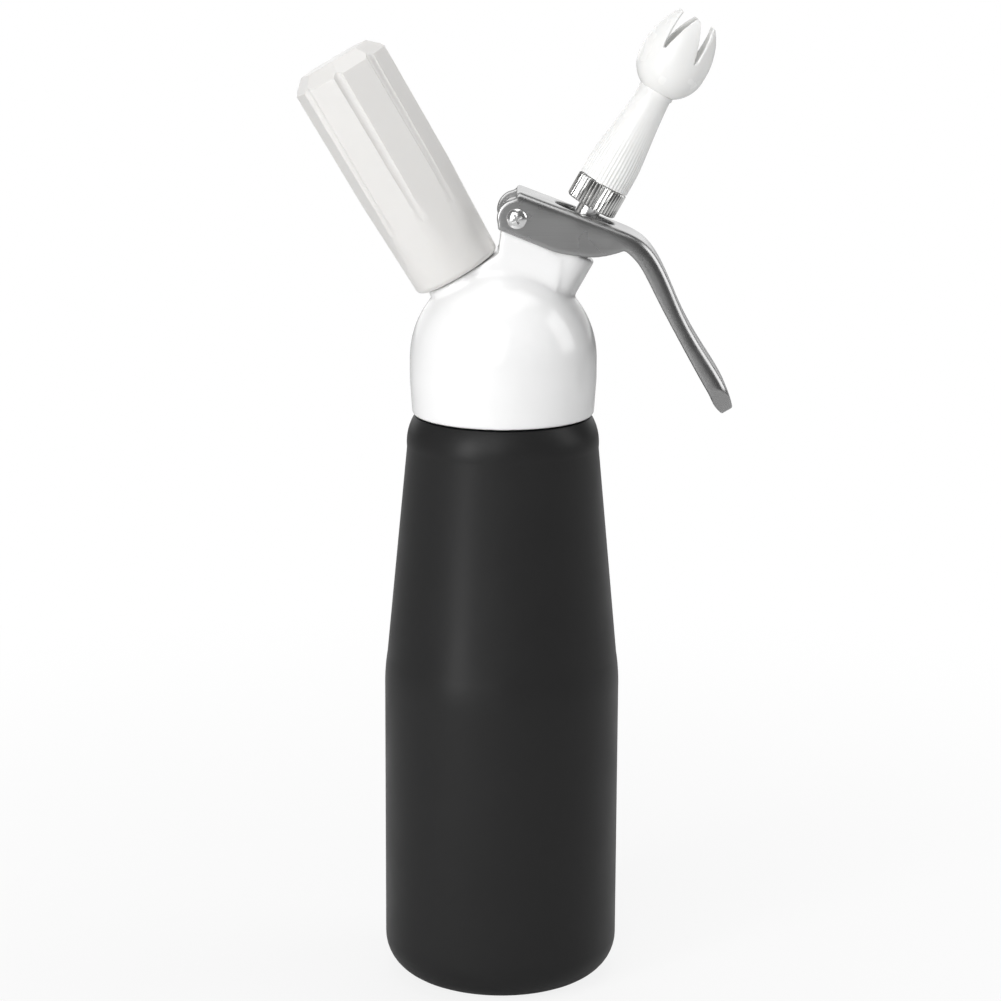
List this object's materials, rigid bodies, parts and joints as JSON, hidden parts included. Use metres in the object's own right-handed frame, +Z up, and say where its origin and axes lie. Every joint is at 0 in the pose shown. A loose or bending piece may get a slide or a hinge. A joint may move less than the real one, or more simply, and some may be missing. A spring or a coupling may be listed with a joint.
{
  "type": "whipped cream dispenser",
  "caption": "Hand-held whipped cream dispenser: tall bottle, screwed dome head, angled charger holder, sprung lever and pronged nozzle.",
  "frame": {"origin": "centre of the bottle's flat base, on the bottle's axis", "axes": "+Z up along the bottle's axis, +X towards the nozzle and the lever's handle, -X towards the charger holder"},
  "size_m": [0.145, 0.08, 0.3315],
  "materials": {
    "bottle_lacquer": "matt black lacquer on aluminium",
    "head_white": "glossy white",
    "silicone": "soft food-grade seal",
    "machined": "turned",
    "steel": "polished stainless",
    "brass": "turned",
    "spring_steel": "drawn wire",
    "charger_steel": "plated steel",
    "holder_plastic": "satin white",
    "adaptor_metal": "knurled",
    "nozzle_plastic": "glossy white",
    "lever_steel": "brushed"
  },
  "bodies": {
    "bottle": {"bottle": "bottle_lacquer"},
    "head_seal": {"head_gasket": "silicone"},
    "head": {"head_shell": "head_white", "charger_stub": "machined", "piercing_pin": "steel", "charger_washer": "silicone", "gas_filter": "steel", "check_valve_cage": "brass", "check_valve_spring": "spring_steel", "valve_seat": "machined", "spring_bush": "holder_plastic", "valve_spring": "spring_steel", "pivot_tube": "machined", "hinge_screw_front": "steel", "hinge_screw_rear": "steel", "stem_ring": "silicone"},
    "check_valve": {"check_valve_disc": "silicone"},
    "charger": {"gas_charger": "charger_steel"},
    "holder": {"charger_holder": "holder_plastic", "holder_cushion": "silicone"},
    "lever": {"lever": "lever_steel"},
    "stem": {"valve_stem": "steel", "valve_seal": "silicone", "valve_nut": "machined", "push_washer": "steel", "nozzle_adaptor": "adaptor_metal"},
    "nozzle_seal": {"nozzle_ring": "silicone"},
    "nozzle": {"decorating_nozzle": "nozzle_plastic"}
  },
  "joints": [
    {"name": "head_lift", "type": "slide", "parent": "bottle", "child": "head_seal", "axis": [0, 0, 1], "range_m": [0, 0.016]},
    {"name": "head_unscrew", "type": "hinge", "parent": "head_seal", "child": "head", "pos_m": [0, 0, 0.197], "axis": [0, 0, 1], "range_deg": [0, 1080]},
    {"name": "charger_slide", "type": "slide", "parent": "head", "child": "charger", "axis": [-0.5045, 0, 0.8634], "range_m": [0, 0.0125]},
    {"name": "holder_unscrew", "type": "hinge", "parent": "charger", "child": "holder", "pos_m": [-0.02018, 0, 0.25334], "axis": [-0.5045, 0, 0.8634], "range_deg": [0, 1080]},
    {"name": "lever_squeeze", "type": "hinge", "parent": "head", "child": "lever", "pos_m": [0.0042, 0, 0.2642], "axis": [0, 1, 0], "range_deg": [0, 10], "stiffness_Nm_per_rad": 0.9, "springref_deg": -20.05},
    {"name": "stem_push", "type": "slide", "parent": "head", "child": "stem", "axis": [-0.4879, 0, -0.8729], "range_m": [0, 0.00386], "deforming": ["valve_spring"]},
    {"name": "nozzle_draw", "type": "slide", "parent": "stem", "child": "nozzle_seal", "axis": [0.4879, 0, 0.8729], "range_m": [0, 0.008]},
    {"name": "nozzle_unscrew", "type": "hinge", "parent": "nozzle_seal", "child": "nozzle", "pos_m": [0.03659, 0, 0.28117], "axis": [0.4879, 0, 0.8729], "range_deg": [0, 720]},
    {"name": "check_valve_open", "type": "slide", "parent": "head", "child": "check_valve", "axis": [0.5045, 0, -0.8634], "range_m": [0, 0.001], "stiffness_N_per_m": 40, "springref_m": -0.0005, "deforming": ["check_valve_spring"]}
  ],
  "couplings": [
    {"joint": "head_lift", "follows": "head_unscrew", "m_per_rad": 0.0008488},
    {"joint": "charger_slide", "follows": "holder_unscrew", "m_per_rad": 0.0006631},
    {"joint": "stem_push", "follows": "lever_squeeze", "m_per_rad": 0.0221},
    {"joint": "nozzle_draw", "follows": "nozzle_unscrew", "m_per_rad": 0.0005968}
  ]
}
